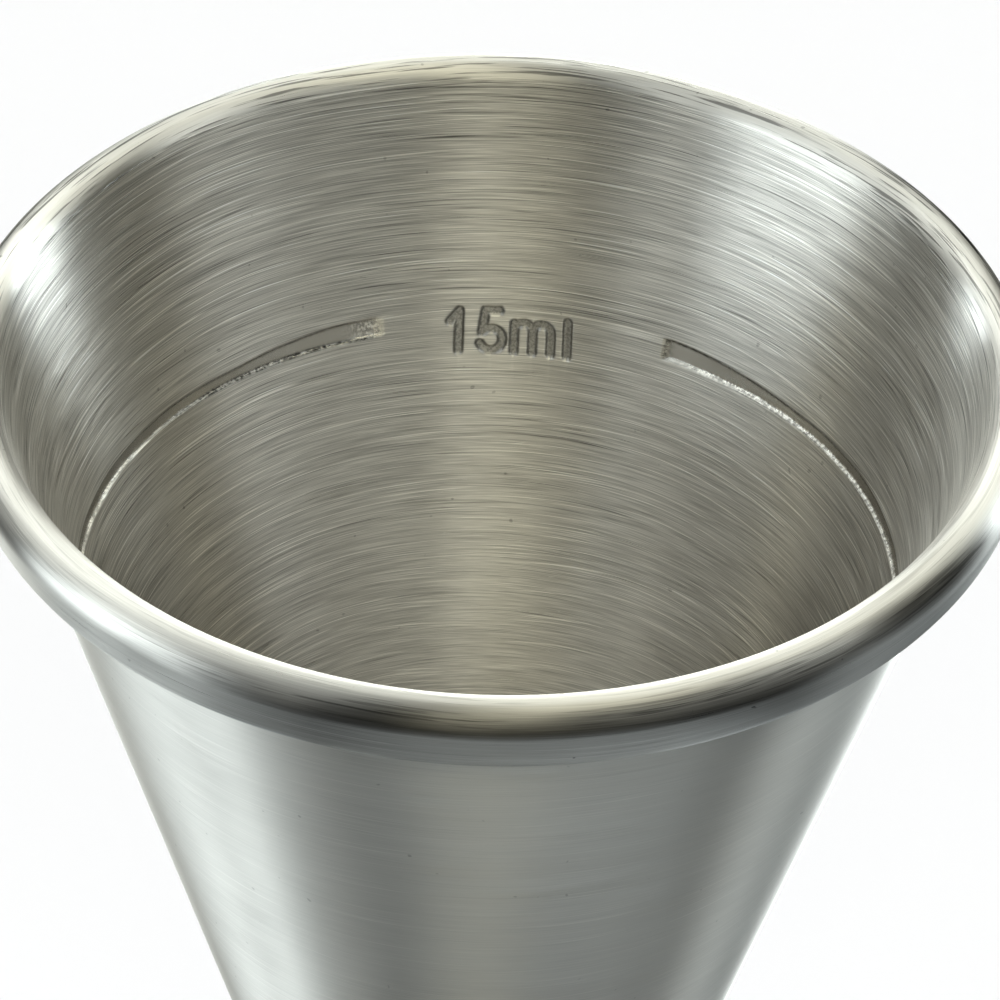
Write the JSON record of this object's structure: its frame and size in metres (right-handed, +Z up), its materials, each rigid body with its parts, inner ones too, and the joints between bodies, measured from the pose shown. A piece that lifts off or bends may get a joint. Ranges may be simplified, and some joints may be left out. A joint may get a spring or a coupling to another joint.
{
  "type": "bar_jigger",
  "caption": "Double-ended stainless steel bar jigger: conical cups with rolled rims joined floor to floor, each with a coined graduation inside.",
  "frame": {"origin": "Centre of the object's foot: the middle of the circle on which the large cup's rim stands.", "axes": "+Z is up, along the axis of both cups, from the large cup's rim to the small cup's rim. +Y is the side on which the graduation's lettering is stamped inside the small cup. +X completes the right-handed set."},
  "size_m": [0.0564, 0.0564, 0.0923],
  "materials": {
    "brushed_steel": "brushed round the axis",
    "weld_steel": "dressed weld metal, satin"
  },
  "bodies": {
    "root": {"small_cup": "brushed_steel", "large_cup": "brushed_steel", "waist_weld": "weld_steel", "spot_welds": "weld_steel"}
  },
  "joints": []
}
